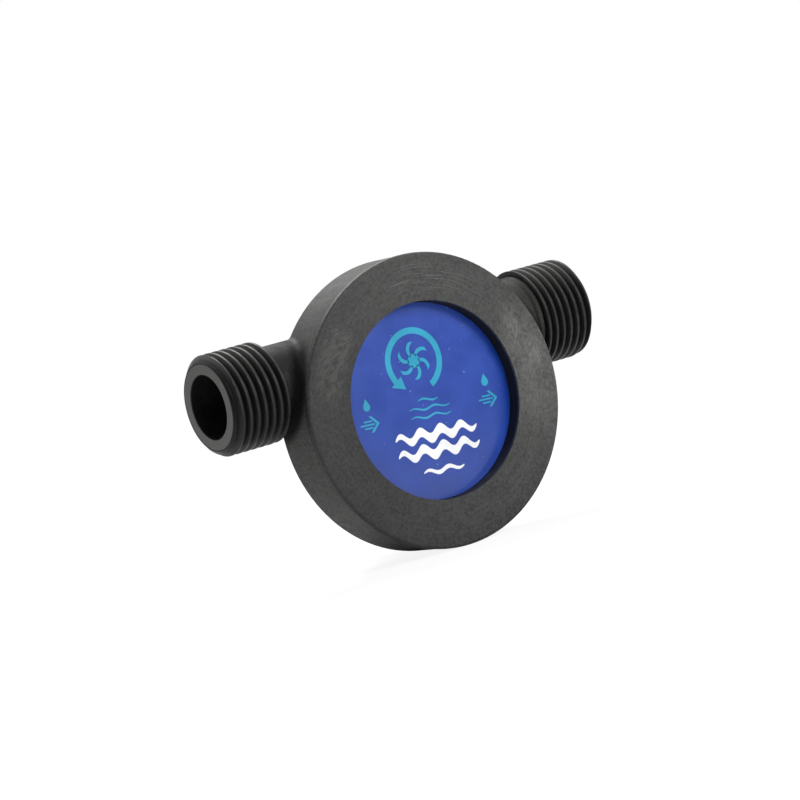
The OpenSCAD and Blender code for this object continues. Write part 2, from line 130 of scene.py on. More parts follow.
class PumpThreadSizes(PropertyGroup):
    """Sizes of the pipe threads on the two ports"""
    pitch: length("Pitch", 1.814 * MM, "Distance between two crests")
    crest_width: length("Crest width", 0.30 * MM, "Width of a crest's flat top")
    flank_angle: angle("Flank angle", 27.5, "Angle of a flank from the square of the axis")
    crest_round: length("Crest rounding", 0.15 * MM, "Radius of a crest's two edges")
    root_round: length("Root rounding", 0.249 * MM, "Radius of a root")
    start: length("Start", 32.4 * MM, "Distance of the thread's inner end from the middle")
    end_radius: length("End radius", 9.05 * MM, "Radius of the port's end face")
    end_chamfer: length("End chamfer", 1.23 * MM, "Length of the chamfer at the port's end")
    inner_radius: length("Inner radius", 8.8 * MM, "Radius at which the sleeve lies in the port")
    inlet_phase: angle("Inlet phase", -158, "Turn of the inlet's thread about the ports' axis")
    outlet_phase: angle("Outlet phase", -126, "Turn of the outlet's thread about the ports' axis")
    columns: IntProperty(name="Columns", description="Faces round a thread", default=180, min=24)


class PumpFilletSizes(PropertyGroup):
    """Sizes of the rounding between the ports' necks and the side wall"""
    neck_radius: length("Neck radius", 8.85 * MM, "Radius of a port's neck")
    radius: length("Fillet radius", 1.4 * MM, "Radius of the rounding")
    wall_back: length("Side wall depth", 11.6 * MM, "Depth of the side wall behind the ring's face")


class PumpLabelSizes(PropertyGroup):
    """Sizes of the print on the round label"""
    tilt: angle("Tilt", -3.3, "Turn of the label in its recess, seen from the front")
    ink: length("Ink", 0.03 * MM, "Thickness of the print")
    wheel_radius: length("Wheel radius", 3.9 * MM, "Radius of the wheel sign")
    turn_radius: length("Turn arrow radius", 6.2 * MM, "Middle radius of the round arrow")
    turn_width: length("Turn arrow width", 1.3 * MM, "Width of the round arrow")
    arrow_length: length("Arrow length", 4.6 * MM, "Length of a flow arrow")
    wave_length: length("Wave length", 5.0 * MM, "Length of one wave of the water sign")


class PumpColours(PropertyGroup):
    """Base colours of the pump's finishes"""
    moulding: colour("Moulding", (0.043, 0.044, 0.042), "Dull dark grey of the cover")
    polished: colour("Polished moulding", (0.009, 0.009, 0.0086), "Black of the smooth ports")
    # The worn colour also stands for painted light on the outlet and on the threads' upper side.
    moulding_worn: colour("Worn moulding", (0.17, 0.17, 0.165), "The same plastic where it is scuffed")
    label: colour("Label", (0.0015, 0.041, 0.32), "Blue of the label's film")
    cyan: colour("Cyan print", (0.004, 0.30, 0.475), "Blue green of the signs")
    white: colour("White print", (0.86, 0.87, 0.88), "White of the signs")
    rubber: colour("Rubber", (0.013, 0.013, 0.013), "Black rubber")
    steel: colour("Steel", (0.60, 0.61, 0.63), "Ground steel")
    zinc: colour("Zinc", (0.62, 0.64, 0.66), "Bright zinc plate")
    spring: colour("Spring steel", (0.20, 0.195, 0.19), "Phosphated spring steel")
    bronze: colour("Bronze", (0.42, 0.25, 0.10), "Sintered bronze")
    brass: colour("Brass", (0.60, 0.42, 0.14), "Turned brass")
    acetal: colour("Acetal", (0.70, 0.67, 0.58), "Natural plastic of the cam")
    nylon: colour("Nylon", (0.72, 0.72, 0.68), "Natural plastic of the thrust washer")


class PumpWear(PropertyGroup):
    """How much the plastic is scuffed and worn, with painted light on the outlet and the threads' upper
    side, and painted shade in the corners beside the ports' necks
    """
    scuffs: share("Scuffs", 0.8, "Scuffs on the ring's face")
    ring_edge: share("Ring edge", 0.15, "Wear along the ring's outer edge")
    port_ends: share("Port ends", 0.7, "Wear of the ports' end faces")
    # Painted light: how much paler the outlet port is painted.
    outlet: share("Outlet", 0.10, "Fading of the outlet port")
    # Painted shade: how dark the corners beside the ports' necks are painted.
    corners: share("Corners", 0.9, "Darkness of the corners beside the ports' necks")
    crests: share("Crests", 0.08, "Rubbing of the threads' crests")
    # Painted light: how much paler the threads' upper side is painted.
    dust: share("Dust", 0.22, "Dust on top of the threads")


class PumpStageSettings(PropertyGroup):
    """The camera, the lamps and the floor"""
    azimuth: angle("Azimuth", 32.33, "How far the view swings round from straight ahead")
    elevation: angle("Elevation", 3.39, "Height of the camera above the shaft's axis")
    roll: angle("Roll", -14.09, "Turn of the camera about its own view")
    distance: length("Distance", 733.0 * MM, "Distance of the camera from the cover")
    lens: FloatProperty(name="Lens", description="Focal length on a 36 mm sensor, in millimetres",
                        default=162.87, min=1)
    aside: length("Aside", -7.017 * MM, "Shift of the camera to its right", low=-1.0)
    aim_depth: length("Aim depth", 0.65 * MM, "Depth of the aimed point behind the ring's face")
    ambient: amount("Ambient", 0.25, "Strength of the even light")
    front: amount("Front", 0.045, "Strength of the backdrop's dim front where gloss shows it")
    key_power: amount("Key", 0.62, "Watts of the large front lamp")
    rim_power: amount("Rim", 3.6, "Watts of the lamp behind")
    fill_power: amount("Fill", 0.15, "Watts of the side lamp")
    floor_radius: length("Floor radius", 600 * MM, "Radius of the round floor")
    floor_tone: share("Floor tone", 0.18, "Grey of the floor that the camera sees, under its glow")
    floor_glow: amount("Floor glow", 0.88, "Light that the floor gives the camera of its own")


# Meshes

def piece_from(name, points, faces, finish, crease, body="housing"):
    """A new piece with a mesh in metres, smooth but for edges sharper than crease degrees."""
    mesh = bpy.data.meshes.new(name)
    work = bmesh.new()
    corners = [work.verts.new(p) for p in points]
    for face in faces:
        work.faces.new([corners[i] for i in face])
    bmesh.ops.remove_doubles(work, verts=work.verts, dist=0.0005 * MM)
    bmesh.ops.dissolve_degenerate(work, edges=work.edges, dist=0.0001 * MM)
    bmesh.ops.recalc_face_normals(work, faces=work.faces)
    work.to_mesh(mesh)
    work.free()
    mesh.polygons.foreach_set("use_smooth", [True] * len(mesh.polygons))
    mesh.set_sharp_from_angle(angle=math.radians(crease))
    mesh.materials.append(finish)
    piece = bpy.data.objects.new(name, mesh)
    bpy.context.scene.collection.objects.link(piece)
    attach(piece, body)
    return piece


def grid_faces(rows, columns, wrap_rows=True, wrap_columns=True):
    """Faces of a grid of points in row order, joined round in either direction."""
    last_row = rows if wrap_rows else rows - 1
    last_column = columns if wrap_columns else columns - 1
    return [(i * columns + j, i * columns + (j + 1) % columns,
             (i + 1) % rows * columns + (j + 1) % columns, (i + 1) % rows * columns + j)
            for i in range(last_row) for j in range(last_column)]


# Threads

def thread_profile(sizes):
    """Half of one pitch of the thread, as distances from a crest and drops below it."""
    lean = sizes.flank_angle
    points = [(0.0, 0.0)]
    for turn in (0.0, 0.25, 0.5, 0.75, 1.0):
        tilt = turn * (math.pi / 2 - lean)
        points.append((sizes.crest_width / 2 + sizes.crest_round * math.sin(tilt),
                       sizes.crest_round * (1 - math.cos(tilt))))
    run = sizes.pitch / 2 - points[-1][0] - sizes.root_round * math.cos(lean)
    foot = (points[-1][0] + run, points[-1][1] + run / math.tan(lean))
    points += [tuple(a + (b - a) * k / 3 for a, b in zip(points[-1], foot)) for k in (1, 2, 3)]
    root = foot[1] + sizes.root_round * (1 - math.sin(lean))
    for turn in (0.75, 0.5, 0.25, 0.0):
        tilt = turn * (math.pi / 2 - lean)
        points.append((sizes.pitch / 2 - sizes.root_round * math.sin(tilt),
                       root - sizes.root_round * (1 - math.cos(tilt))))
    return points


def drop_at(profile, pitch, s):
    """How far the thread lies below a crest's top, at a distance along the axis from a crest."""
    s = abs((s + pitch / 2) % pitch - pitch / 2)
    for (s0, d0), (s1, d1) in zip(profile, profile[1:]):
        if s <= s1:
            return d0 + (d1 - d0) * (s - s0) / max(s1 - s0, 1e-9)
    return profile[-1][1]


def port_thread(name, side, phase, sizes, finish):
    """A closed sleeve with a right-hand thread over the root of one port, in place of its rings."""
    # The sleeve stands this far out of the port's end, so that the two share no face.
    proud = 0.01 * MM
    low, high = sorted((side * sizes.start, side * (PORT_END + proud)))
    profile = thread_profile(sizes)
    stations = sorted([-s for s, _ in profile[1:-1]] + [s for s, _ in profile])
    first = math.floor(low / sizes.pitch) - 2
    turns = range(first, math.ceil(high / sizes.pitch) + 2)
    rows = [k * sizes.pitch + s for k in turns for s in stations]
    taper = (CREST_R - sizes.end_radius) / sizes.end_chamfer
    columns = sizes.columns + 1
    points = []
    for row in [None] + rows + [None]:
        for j in range(columns):
            turn = 2 * math.pi * j / sizes.columns
            lead = sizes.pitch * (turn + phase) / (2 * math.pi)
            if row is None:
                x = low if len(points) < columns else high
                r = sizes.inner_radius
            else:
                x = min(high, max(low, row + lead))
                r = CREST_R - drop_at(profile, sizes.pitch, x - lead)
                r = min(r, sizes.end_radius + taper * (PORT_END - abs(x)) + proud)
            points.append((x, PORT_Y + r * math.cos(turn), PORT_Z + r * math.sin(turn)))
    faces = grid_faces(len(rows) + 2, columns, wrap_columns=False)
    sleeve = piece_from(name + "_helix", points, faces, finish, crease=38)
    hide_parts(name)


# Fillets

def neck_fillet(name, side, sizes, finish):
    """The rounding that a ball would leave as it rolls between a port's neck and the side wall."""
    ball = sizes.radius
    neck = Vector((0, PORT_Y, PORT_Z))
    back_y = FACE_Y + sizes.wall_back
    reach = math.acos((back_y - PORT_Y) / (sizes.neck_radius + ball))
    # The arc runs on into the neck and the wall by this share of its sweep at either end.
    bury = 0.06
    steps, arc_steps = 56, 8
    points = []
    for i in range(steps + 1):
        turn = reach + 2 * (math.pi - reach) * i / steps
        out = Vector((0, math.cos(turn), math.sin(turn)))
        centre = neck + out * (sizes.neck_radius + ball)
        centre.x = side * math.sqrt((WALL_R + ball) ** 2 - centre.z ** 2)
        to_neck = -out
        to_wall = -Vector((centre.x, 0, centre.z)).normalized()
        span = to_neck.angle(to_wall)
        axis = to_neck.cross(to_wall).normalized()
        # The strip's back edge lies buried where the neck meets the wall.
        points.append(centre + (to_neck + to_wall) * ball * 1.05)
        for k in range(arc_steps + 1):
            t = -bury + (1 + 2 * bury) * k / arc_steps
            points.append(centre + Matrix.Rotation(span * t, 3, axis) @ to_neck * ball)
    columns = arc_steps + 2
    faces = grid_faces(steps + 1, columns, wrap_rows=False)
    faces.append(tuple(range(columns)))
    faces.append(tuple(steps * columns + k for k in reversed(range(columns))))
    piece_from(name, points, faces, finish, crease=50)


# Label print

# Places of the signs, in millimetres to the right and up from the label's middle.
TURN_SIGN = (-1.4, 8.6)
ARROW_ASIDE, ARROW_UP = 14.6, -2.2
DROP_UP, DROP_TIP = 1.4, 1.7

# Wavy bands in millimetres: right, up, number of waves, height of a wave and width of the band.
RIPPLES = ((0.2, 0.4, 1, 0.28, 0.42), (0.2, -1.3, 2, 0.28, 0.42), (0.2, -3.0, 2, 0.28, 0.42))
WAVES = ((0.6, -6.7, 4, 0.8, 2.1), (0.6, -10.1, 4, 0.8, 2.1))
SMALL_WAVE = ((0.8, -14.2, 2, 0.4, 0.9),)


def label_point(u, v, depth, tilt):
    """A point of the label from its place to the right and up, as seen from the front."""
    return Vector((u * math.cos(tilt) - v * math.sin(tilt), LABEL_Y - depth,
                   u * math.sin(tilt) + v * math.cos(tilt)))


def printed(name, outlines, sizes, finish):
    """One print made of flat outlines, raised over the label by the thickness of the ink."""
    points, faces = [], []
    for outline in outlines:
        count, base = len(outline), len(points)
        for depth in (-sizes.ink / 2, sizes.ink):
            points += [label_point(u, v, depth, sizes.tilt) for u, v in outline]
        faces.append(tuple(base + k for k in range(count)))
        faces.append(tuple(base + count + k for k in reversed(range(count))))
        faces += [(base + k, base + (k + 1) % count, base + count + (k + 1) % count, base + count + k)
                  for k in range(count)]
    piece_from(name, points, faces, finish, crease=20)


def polar(radius, turn, centre):
    """A point at a radius and an angle from a centre."""
    return (centre[0] + radius * math.cos(turn), centre[1] + radius * math.sin(turn))


def round_arrow(centre, radius, width):
    """Outlines of an arrow that runs counter-clockwise round a centre, from low on its right."""
    start, sweep, steps = math.radians(-60), math.radians(300), 40
    head = 2.1 * width / radius
    turns = [start + (sweep - head) * k / steps for k in range(steps + 1)]
    band = [polar(radius + width / 2, t, centre) for t in turns]
    band += [polar(radius - width / 2, t, centre) for t in reversed(turns)]
    neck = turns[-1]
    tip = [polar(radius + 1.25 * width, neck, centre), polar(radius, neck + head, centre),
           polar(radius - 1.25 * width, neck, centre)]
    return [band, tip]


def wheel(centre, radius, vanes):
    """Outlines of a small wheel with bent vanes round a hub."""
    shapes = [[polar(radius * 0.36, 2 * math.pi * k / 24, centre) for k in range(24)]]
    steps = 8
    for n in range(vanes):
        root = 2 * math.pi * n / vanes
        sides = []
        for half in (1, -1):
            side = []
            for k in range(steps + 1):
                s = k / steps
                r = radius * (0.3 + 0.7 * s)
                side.append(polar(r, root - 0.55 * s * s + half * (0.2 - 0.06 * s), centre))
            sides.append(side)
        shapes.append(sides[0] + sides[1][::-1])
    return shapes


def flow_arrow(centre, size):
    """Outlines of an open arrow head with three trailing lines, from inlet to outlet."""
    x, y = centre
    head = [(0.0, 0.36), (0.14, 0.36), (0.5, 0.0), (0.14, -0.36), (0.0, -0.36), (0.36, 0.0)]
    lines = [[(start, v + 0.035), (end, v + 0.035), (end, v - 0.035), (start, v - 0.035)]
             for v, start, end in ((0.15, -0.3, 0.14), (0.0, -0.5, 0.26), (-0.15, -0.3, 0.14))]
    return [[(x + size * u, y + size * v) for u, v in shape] for shape in [head] + lines]


def drop(centre, tip):
    """Outline of a drop of water whose tip stands over its centre."""
    steps = 20
    turns = [math.radians(150 + 240 * k / steps) for k in range(steps + 1)]
    return [(centre[0], centre[1] + tip)] + [polar(tip * 0.5, t, centre) for t in turns]


def wave(wave_length, right, up, waves, height, width):
    """Outline of a wavy band that thins towards its ends, in metres."""
    steps = 18 * waves
    upper, lower = [], []
    for k in range(steps + 1):
        t = k / steps
        x = right * MM + wave_length * waves * (t - 0.5)
        y = up * MM + height * MM * math.sin(2 * math.pi * waves * t)
        half = width * MM / 2 * (0.15 + 0.85 * math.sin(math.pi * t) ** 0.5)
        upper.append((x, y + half))
        lower.append((x, y - half))
    return upper + lower[::-1]


# Node trees

VECTOR, VALUE = "NodeSocketVector", "NodeSocketFloat"


def feed(tree, socket, value):
    """Links an input to another node's output, or sets it to a value."""
    if isinstance(value, bpy.types.NodeSocket):
        tree.links.new(value, socket)
    elif socket.type == "RGBA" and len(value) == 3:
        socket.default_value = (*value, 1)
    else:
        socket.default_value = value


def add(tree, kind, inputs=None, **settings):
    """A node with its settings, whose inputs are values or other nodes' outputs."""
    node = tree.nodes.new(kind)
    node.location = (220 * (len(tree.nodes) % 8), -260 * (len(tree.nodes) // 8))
    for name, value in settings.items():
        setattr(node, name, value)
    for key, value in (inputs or {}).items():
        feed(tree, node.inputs[key], value)
    return node


def sums(tree, operation, a, b=0.0, c=0.0, clamp=False):
    """The result of one Math node."""
    return add(tree, "ShaderNodeMath", {0: a, 1: b, 2: c}, operation=operation, use_clamp=clamp).outputs[0]


def times(tree, a, b, plus=None, clamp=False):
    """The product of two values, or their product plus a third."""
    if plus is None:
        return sums(tree, "MULTIPLY", a, b, clamp=clamp)
    return sums(tree, "MULTIPLY_ADD", a, b, plus, clamp)


def vectors(tree, operation, a, b=(0.0, 0.0, 0.0)):
    """The outputs of one Vector Math node: a vector as the first, a number as Value."""
    return add(tree, "ShaderNodeVectorMath", {0: a, 1: b}, operation=operation).outputs


def split(tree, vector):
    """The X, Y and Z of a vector."""
    return add(tree, "ShaderNodeSeparateXYZ", {0: vector}).outputs


def ramp(tree, value, low, high, to_low=0.0, to_high=1.0):
    """A smooth step of a value from one range to another."""
    return add(tree, "ShaderNodeMapRange", {"Value": value, "From Min": low, "From Max": high,
                                            "To Min": to_low, "To Max": to_high},
               interpolation_type="SMOOTHSTEP").outputs["Result"]


def blend(tree, factor, a, b, mode="MIX"):
    """A mix of two colours."""
    return add(tree, "ShaderNodeMix", {0: factor, 6: a, 7: b}, data_type="RGBA", blend_type=mode).outputs[2]


def noise(tree, vector, scale, detail, rough):
    """A cloudy value between 0 and 1."""
    return add(tree, "ShaderNodeTexNoise", {"Vector": vector, "Scale": scale, "Detail": detail,
                                            "Roughness": rough}).outputs["Fac"]


def effect(name, inputs, outputs, directions=()):
    """A new node group, with its tree and the outputs of its input node.

    Each input has its default value, or None for a vector."""
    tree = bpy.data.node_groups.new(name, "ShaderNodeTree")
    for label, default in inputs.items():
        kind = VECTOR if default is None else VALUE
        socket = tree.interface.new_socket(name=label, in_out="INPUT", socket_type=kind)
        if default is not None:
            socket.default_value = default
    for labels, kind in ((outputs, VALUE), (directions, VECTOR)):
        for label in labels:
            tree.interface.new_socket(name=label, in_out="OUTPUT", socket_type=kind)
    return tree, tree.nodes.new("NodeGroupInput").outputs


def close(tree, values):
    """Links the values to the group's outputs, by name."""
    end = tree.nodes.new("NodeGroupOutput")
    end.location = (1900, 0)
    for label, value in values.items():
        tree.links.new(value, end.inputs[label])


def place(tree, name, vector, **inputs):
    """One use of a node group at a vector, with its outputs by name."""
    inputs["Vector"] = vector
    return add(tree, "ShaderNodeGroup", inputs, node_tree=bpy.data.node_groups[name]).outputs


# Shared effects

def build_shaft_place():
    """Radius and depth in millimetres, turns and the direction away from the shaft's axis."""
    tree, given = effect("Shaft place", {"Vector": None}, ["Radius", "Turn", "Depth"], ["Direction"])
    flat = vectors(tree, "MULTIPLY", given["Vector"], (1.0, 0.0, 1.0))[0]
    away = vectors(tree, "LENGTH", flat)["Value"]
    x, y, z = split(tree, given["Vector"])
    close(tree, {"Radius": times(tree, away, 1 / MM),
                 "Turn": sums(tree, "DIVIDE", sums(tree, "ARCTAN2", z, x), 2 * math.pi),
                 "Depth": times(tree, sums(tree, "SUBTRACT", y, FACE_Y), 1 / MM),
                 "Direction": vectors(tree, "NORMALIZE", flat)[0]})


def build_grain():
    """Cloudy mottling, fine speckle and the height of a moulded grain, with sizes in millimetres."""
    tree, given = effect("Moulded grain", {"Vector": None, "Grain": 0.5, "Cloud": 3.0},
                         ["Mottle", "Speckle", "Height"])
    fine = sums(tree, "DIVIDE", 1 / MM, given["Grain"])
    broad = sums(tree, "DIVIDE", 1 / MM, given["Cloud"])
    mottle = noise(tree, given["Vector"], broad, 4, 0.65)
    speckle = noise(tree, given["Vector"], fine, 3, 0.7)
    pits = add(tree, "ShaderNodeTexVoronoi", {"Vector": given["Vector"], "Scale": fine}).outputs["Distance"]
    close(tree, {"Mottle": ramp(tree, mottle, 0.36, 0.64), "Speckle": ramp(tree, speckle, 0.37, 0.63),
                 "Height": times(tree, pits, 0.4, speckle)})


def build_strokes():
    """Broken strokes about the shaft's axis: Width across and Length along, both in millimetres."""
    tree, given = effect("Scuff strokes", {"Vector": None, "Width": 0.3, "Length": 5.0, "Twist": 0.0,
                                           "Cover": 0.5}, ["Mask"])
    spot = place(tree, "Shaft place", given["Vector"])
    twist = times(tree, sums(tree, "SUBTRACT", spot["Radius"], RING_MIDDLE), given["Twist"])
    turned = add(tree, "ShaderNodeVectorRotate", {"Vector": spot["Direction"], "Axis": (0.0, 1.0, 0.0),
                                                  "Angle": twist}, rotation_type="AXIS_ANGLE").outputs[0]
    density = sums(tree, "DIVIDE", RING_MIDDLE, given["Length"])
    along = add(tree, "ShaderNodeVectorMath", {0: turned, "Scale": density}, operation="SCALE").outputs[0]
    lane = sums(tree, "DIVIDE", spot["Radius"], given["Width"])
    across = add(tree, "ShaderNodeCombineXYZ", {1: lane}).outputs[0]
    both = vectors(tree, "ADD", along, across)[0]
    limit = sums(tree, "SUBTRACT", 0.85, times(tree, given["Cover"], 0.5))
    over = sums(tree, "SUBTRACT", noise(tree, both, 1.0, 2, 0.6), limit)
    close(tree, {"Mask": times(tree, over, 6.0, clamp=True)})


def build_lobe():
    """Soft stretch of a ring, centred at one turn about the shaft's axis."""
    tree, given = effect("Lobe", {"Vector": None, "Centre": 0.0, "Width": 0.1}, ["Mask"])
    turn = place(tree, "Shaft place", given["Vector"])["Turn"]
    shift = sums(tree, "ADD", sums(tree, "SUBTRACT", turn, given["Centre"]), 1.5)
    away = sums(tree, "ABSOLUTE", sums(tree, "SUBTRACT", sums(tree, "FRACT", shift), 0.5))
    close(tree, {"Mask": ramp(tree, sums(tree, "DIVIDE", away, given["Width"]), 1.0, 0.25)})


def build_lines():
    """Fine tool or draw lines along one direction, as a soft mask and a height."""
    tree, given = effect("Fine lines", {"Vector": None, "Stretch": None, "Strength": 1.0},
                         ["Mask", "Height"])
    lines = noise(tree, vectors(tree, "MULTIPLY", given["Vector"], given["Stretch"])[0], 1.0, 3, 0.6)
    close(tree, {"Mask": ramp(tree, lines, 0.35, 0.65), "Height": times(tree, lines, given["Strength"])})


def build_turned():
    """Marks of turning or grinding about the shaft: thin rings that vary along radius and depth."""
    tree, given = effect("Turned marks", {"Vector": None, "Spacing": 0.08}, ["Mask", "Height"])
    spot = place(tree, "Shaft place", given["Vector"])
    reach = sums(tree, "DIVIDE", sums(tree, "ADD", spot["Radius"], spot["Depth"]), given["Spacing"])
    across = add(tree, "ShaderNodeCombineXYZ", {1: reach}).outputs[0]
    lines = noise(tree, vectors(tree, "ADD", spot["Direction"], across)[0], 1.0, 2, 0.6)
    close(tree, {"Mask": ramp(tree, lines, 0.35, 0.65), "Height": lines})


def build_blotches():
    """Soft blotches of handling, oil or plating, with their size in millimetres, and small specks."""
    tree, given = effect("Blotches", {"Vector": None, "Size": 4.0}, ["Blotch", "Specks"])
    broad = sums(tree, "DIVIDE", 1 / MM, given["Size"])
    cloud = noise(tree, given["Vector"], broad, 3, 0.6)
    dots = add(tree, "ShaderNodeTexVoronoi", {"Vector": given["Vector"], "Scale": times(tree, broad, 5.0)})
    close(tree, {"Blotch": ramp(tree, cloud, 0.35, 0.65),
                 "Specks": ramp(tree, dots.outputs["Distance"], 0.16, 0.05)})


# Finishes

METAL = {"Metallic": 1.0}


def new_finish(name):
    """A material with its node tree and its surface coordinates."""
    finish = bpy.data.materials.new(name)
    finish.use_nodes = True
    tree = finish.node_tree
    tree.nodes["Principled BSDF"].location = (1900, 0)
    tree.nodes["Material Output"].location = (2200, 0)
    return finish, tree, add(tree, "ShaderNodeTexCoord").outputs["Object"]


def set_surface(tree, tone, rough, height, depth, levels):
    """Feeds the surface a colour, a roughness, a height of so many millimetres at 1, and other levels."""
    bump = add(tree, "ShaderNodeBump", {"Strength": 1.0, "Distance": depth * MM, "Height": height})
    inputs = {"Base Color": tone, "Roughness": rough, "Normal": bump.outputs["Normal"], **levels}
    for key, value in inputs.items():
        feed(tree, tree.nodes["Principled BSDF"].inputs[key], value)


def toned(tone, factor):
    """A colour made darker or lighter."""
    return [min(1, c * factor) for c in tone]


def shaded(tree, tone, light):
    """A colour times the share of light that a place gets."""
    grey = add(tree, "ShaderNodeCombineColor", {0: light, 1: light, 2: light}).outputs[0]
    return blend(tree, 1.0, tone, grey, "MULTIPLY")


def moulding_base(tree, vector, tone, contrast):
    """Colour and height of the dark plastic before scuffs, with its tones spread by the contrast."""
    middle = 1.6
    dark, pale, fleck = (middle + (factor - middle) * contrast for factor in (0.2, 1.15, 2.7))
    grain = place(tree, "Moulded grain", vector, Grain=0.62, Cloud=2.3)
    base = blend(tree, grain["Mottle"], toned(tone, dark), toned(tone, pale))
    return blend(tree, times(tree, grain["Speckle"], 0.7), base, toned(tone, fleck)), grain


def joint_shade(tree, spot):
    """Share of light left in the thin joint between the cover and the body."""
    off = sums(tree, "ABSOLUTE", sums(tree, "SUBTRACT", spot["Depth"], JOINT_DEPTH + 0.1))
    return ramp(tree, off, 0.12, 0.3, 0.04, 1.0)


def beyond_wall(tree, vector):
    """Distance along the ports' axis out of the round side wall, in metres."""
    x, _, z = split(tree, vector)
    left = sums(tree, "SUBTRACT", WALL_R ** 2, times(tree, z, z))
    across = sums(tree, "SQRT", sums(tree, "MAXIMUM", left, 0.0))
    return sums(tree, "SUBTRACT", sums(tree, "ABSOLUTE", x), across)


def port_radius(tree, vector):
    """Distance from the ports' axis, in metres."""
    flat = vectors(tree, "MULTIPLY", vector, (0.0, 1.0, 1.0))[0]
    return vectors(tree, "DISTANCE", flat, (0.0, PORT_Y, PORT_Z))["Value"]


# Places round the ring, in turns from the outlet's side over the top: the middle of the painted light, the
# scuffed spots, and the middle of the painted shade.
HANDLED, RIGHT_SCUFFS, TOP_SCUFFS, LEFT_SCUFFS, DULL = 0.0, 0.05, 0.225, 0.415, 0.51


def lobe(tree, vector, centre, width):
    """Mask of a soft stretch of the ring, with its centre and width in turns."""
    return place(tree, "Lobe", vector, Centre=centre, Width=width)["Mask"]


def ring_scuffs(tree, vector, spot):
    """Scuffs on the ring's middle: long thin arcs all round, more at the top, and two hatched spots."""
    off = sums(tree, "ABSOLUTE", sums(tree, "SUBTRACT", spot["Radius"], RING_MIDDLE))
    band = ramp(tree, off, 4.2, 0.8)
    arcs = place(tree, "Scuff strokes", vector, Width=0.30, Length=8.0, Twist=0.02, Cover=0.68)["Mask"]
    strokes = place(tree, "Scuff strokes", vector, Width=1.5, Length=0.34, Twist=0.05, Cover=0.86)["Mask"]
    hatched = times(tree, lobe(tree, vector, RIGHT_SCUFFS, 0.06), 0.4,
                    lobe(tree, vector, LEFT_SCUFFS, 0.06))
    broken = ramp(tree, noise(tree, vector, 300, 2, 0.6), 0.34, 0.54)
    local = times(tree, times(tree, strokes, hatched), times(tree, band, broken))
    long = times(tree, arcs, times(tree, lobe(tree, vector, TOP_SCUFFS, 0.08), 0.8, 0.35))
    return times(tree, long, band, times(tree, local, 2.6), clamp=True)


def cover_finish(colours, wear):
    """Dull mottled moulding, scuffed on the ring, with painted shade in the recess, and painted light on
    the outlet's side of the ring and painted shade on the far side.
    """
    finish, tree, vector = new_finish("Moulded cover")
    spot = place(tree, "Shaft place", vector)
    base, grain = moulding_base(tree, vector, colours.moulding, 0.55)
    scuffs = ring_scuffs(tree, vector, spot)
    edge = ramp(tree, spot["Radius"], RING_R / MM - 0.75, RING_R / MM - 0.1)
    mask = times(tree, edge, wear.ring_edge, times(tree, scuffs, wear.scuffs), clamp=True)
    worn = blend(tree, mask, base, colours.moulding_worn)
    # Painted shade: the recess round the label is darkened almost to black.
    recess = ramp(tree, spot["Depth"], 0.3, 1.0, 1.0, 0.12)
    inner = sums(tree, "LESS_THAN", spot["Radius"], LABEL_R / MM + 0.3)
    light = times(tree, inner, sums(tree, "SUBTRACT", recess, 1.0), 1.0)
    # Painted light and shade: the ring is paler towards the outlet's side and darker on the far side.
    handled = times(tree, lobe(tree, vector, HANDLED, 0.11), 0.44, 0.64)
    round_tone = times(tree, lobe(tree, vector, DULL, 0.26), -0.24, handled)
    light = times(tree, times(tree, light, round_tone), joint_shade(tree, spot))
    rough = times(tree, scuffs, 0.12, times(tree, grain["Mottle"], 0.10, 0.52))
    set_surface(tree, shaded(tree, worn, light), rough, times(tree, scuffs, 0.5, grain["Height"]), 0.02,
                {"Specular IOR Level": 0.3})
    return finish


def body_finish(colours, wear, neck_radius):
    """Dull moulding, smoother and darker on the ports, with painted shade in the corners beside their necks
    and in the bores, and painted light on the outlet.
    """
    finish, tree, vector = new_finish("Moulded body")
    dull, grain = moulding_base(tree, vector, toned(colours.moulding, 0.78), 0.5)
    x, _, z = split(tree, vector)
    aside = sums(tree, "ABSOLUTE", x)
    spot = place(tree, "Shaft place", vector)
    out = beyond_wall(tree, vector)
    radius = port_radius(tree, vector)
    end = ramp(tree, aside, PORT_END - 0.3 * MM, PORT_END - 0.05 * MM)
    port = sums(tree, "SUBTRACT", ramp(tree, out, 0.2 * MM, 1.6 * MM), end, clamp=True)
    base = blend(tree, port, dull, colours.polished)
    # Painted light: the outlet port is painted paler; the ports' end faces are paler from wear.
    outlet = times(tree, port, sums(tree, "GREATER_THAN", x, 0.0))
    faded = times(tree, outlet, wear.outlet, times(tree, end, wear.port_ends))
    base = blend(tree, faded, base, colours.moulding_worn)
    # Painted shade: the corners beside the ports' necks are darkened, most of all below the ports' tops.
    near = sums(tree, "MAXIMUM", out, sums(tree, "SUBTRACT", radius, neck_radius))
    near = ramp(tree, sums(tree, "ABSOLUTE", near), 3.6 * MM, 0.9 * MM)
    corner = times(tree, near, ramp(tree, z, PORT_Z + 9.4 * MM, PORT_Z + 5 * MM))
    # Painted shade: the inside of each port's bore is darkened.
    way = ramp(tree, radius, BORE_R - 0.1 * MM, BORE_R + 0.1 * MM, 0.2, 1.0)
    light = sums(tree, "MAXIMUM", way, sums(tree, "LESS_THAN", aside, WALL_R - 6 * MM))
    light = times(tree, light, times(tree, corner, -wear.corners, 1.0))
    light = times(tree, light, joint_shade(tree, spot))
    lines = place(tree, "Fine lines", vector, Stretch=(2200.0, 90.0, 2200.0), Strength=0.6)
    rubbed = place(tree, "Blotches", vector, Size=5.0)["Blotch"]
    mask = times(tree, times(tree, lines["Mask"], rubbed), 0.12)
    worn = blend(tree, mask, base, colours.moulding_worn)
    rough = times(tree, corner, 0.3, times(tree, grain["Mottle"], 0.12, 0.54))
    set_surface(tree, shaded(tree, worn, light), rough, sums(tree, "ADD", grain["Height"], lines["Height"]),
                0.025, {"Specular IOR Level": 0.13})
    return finish


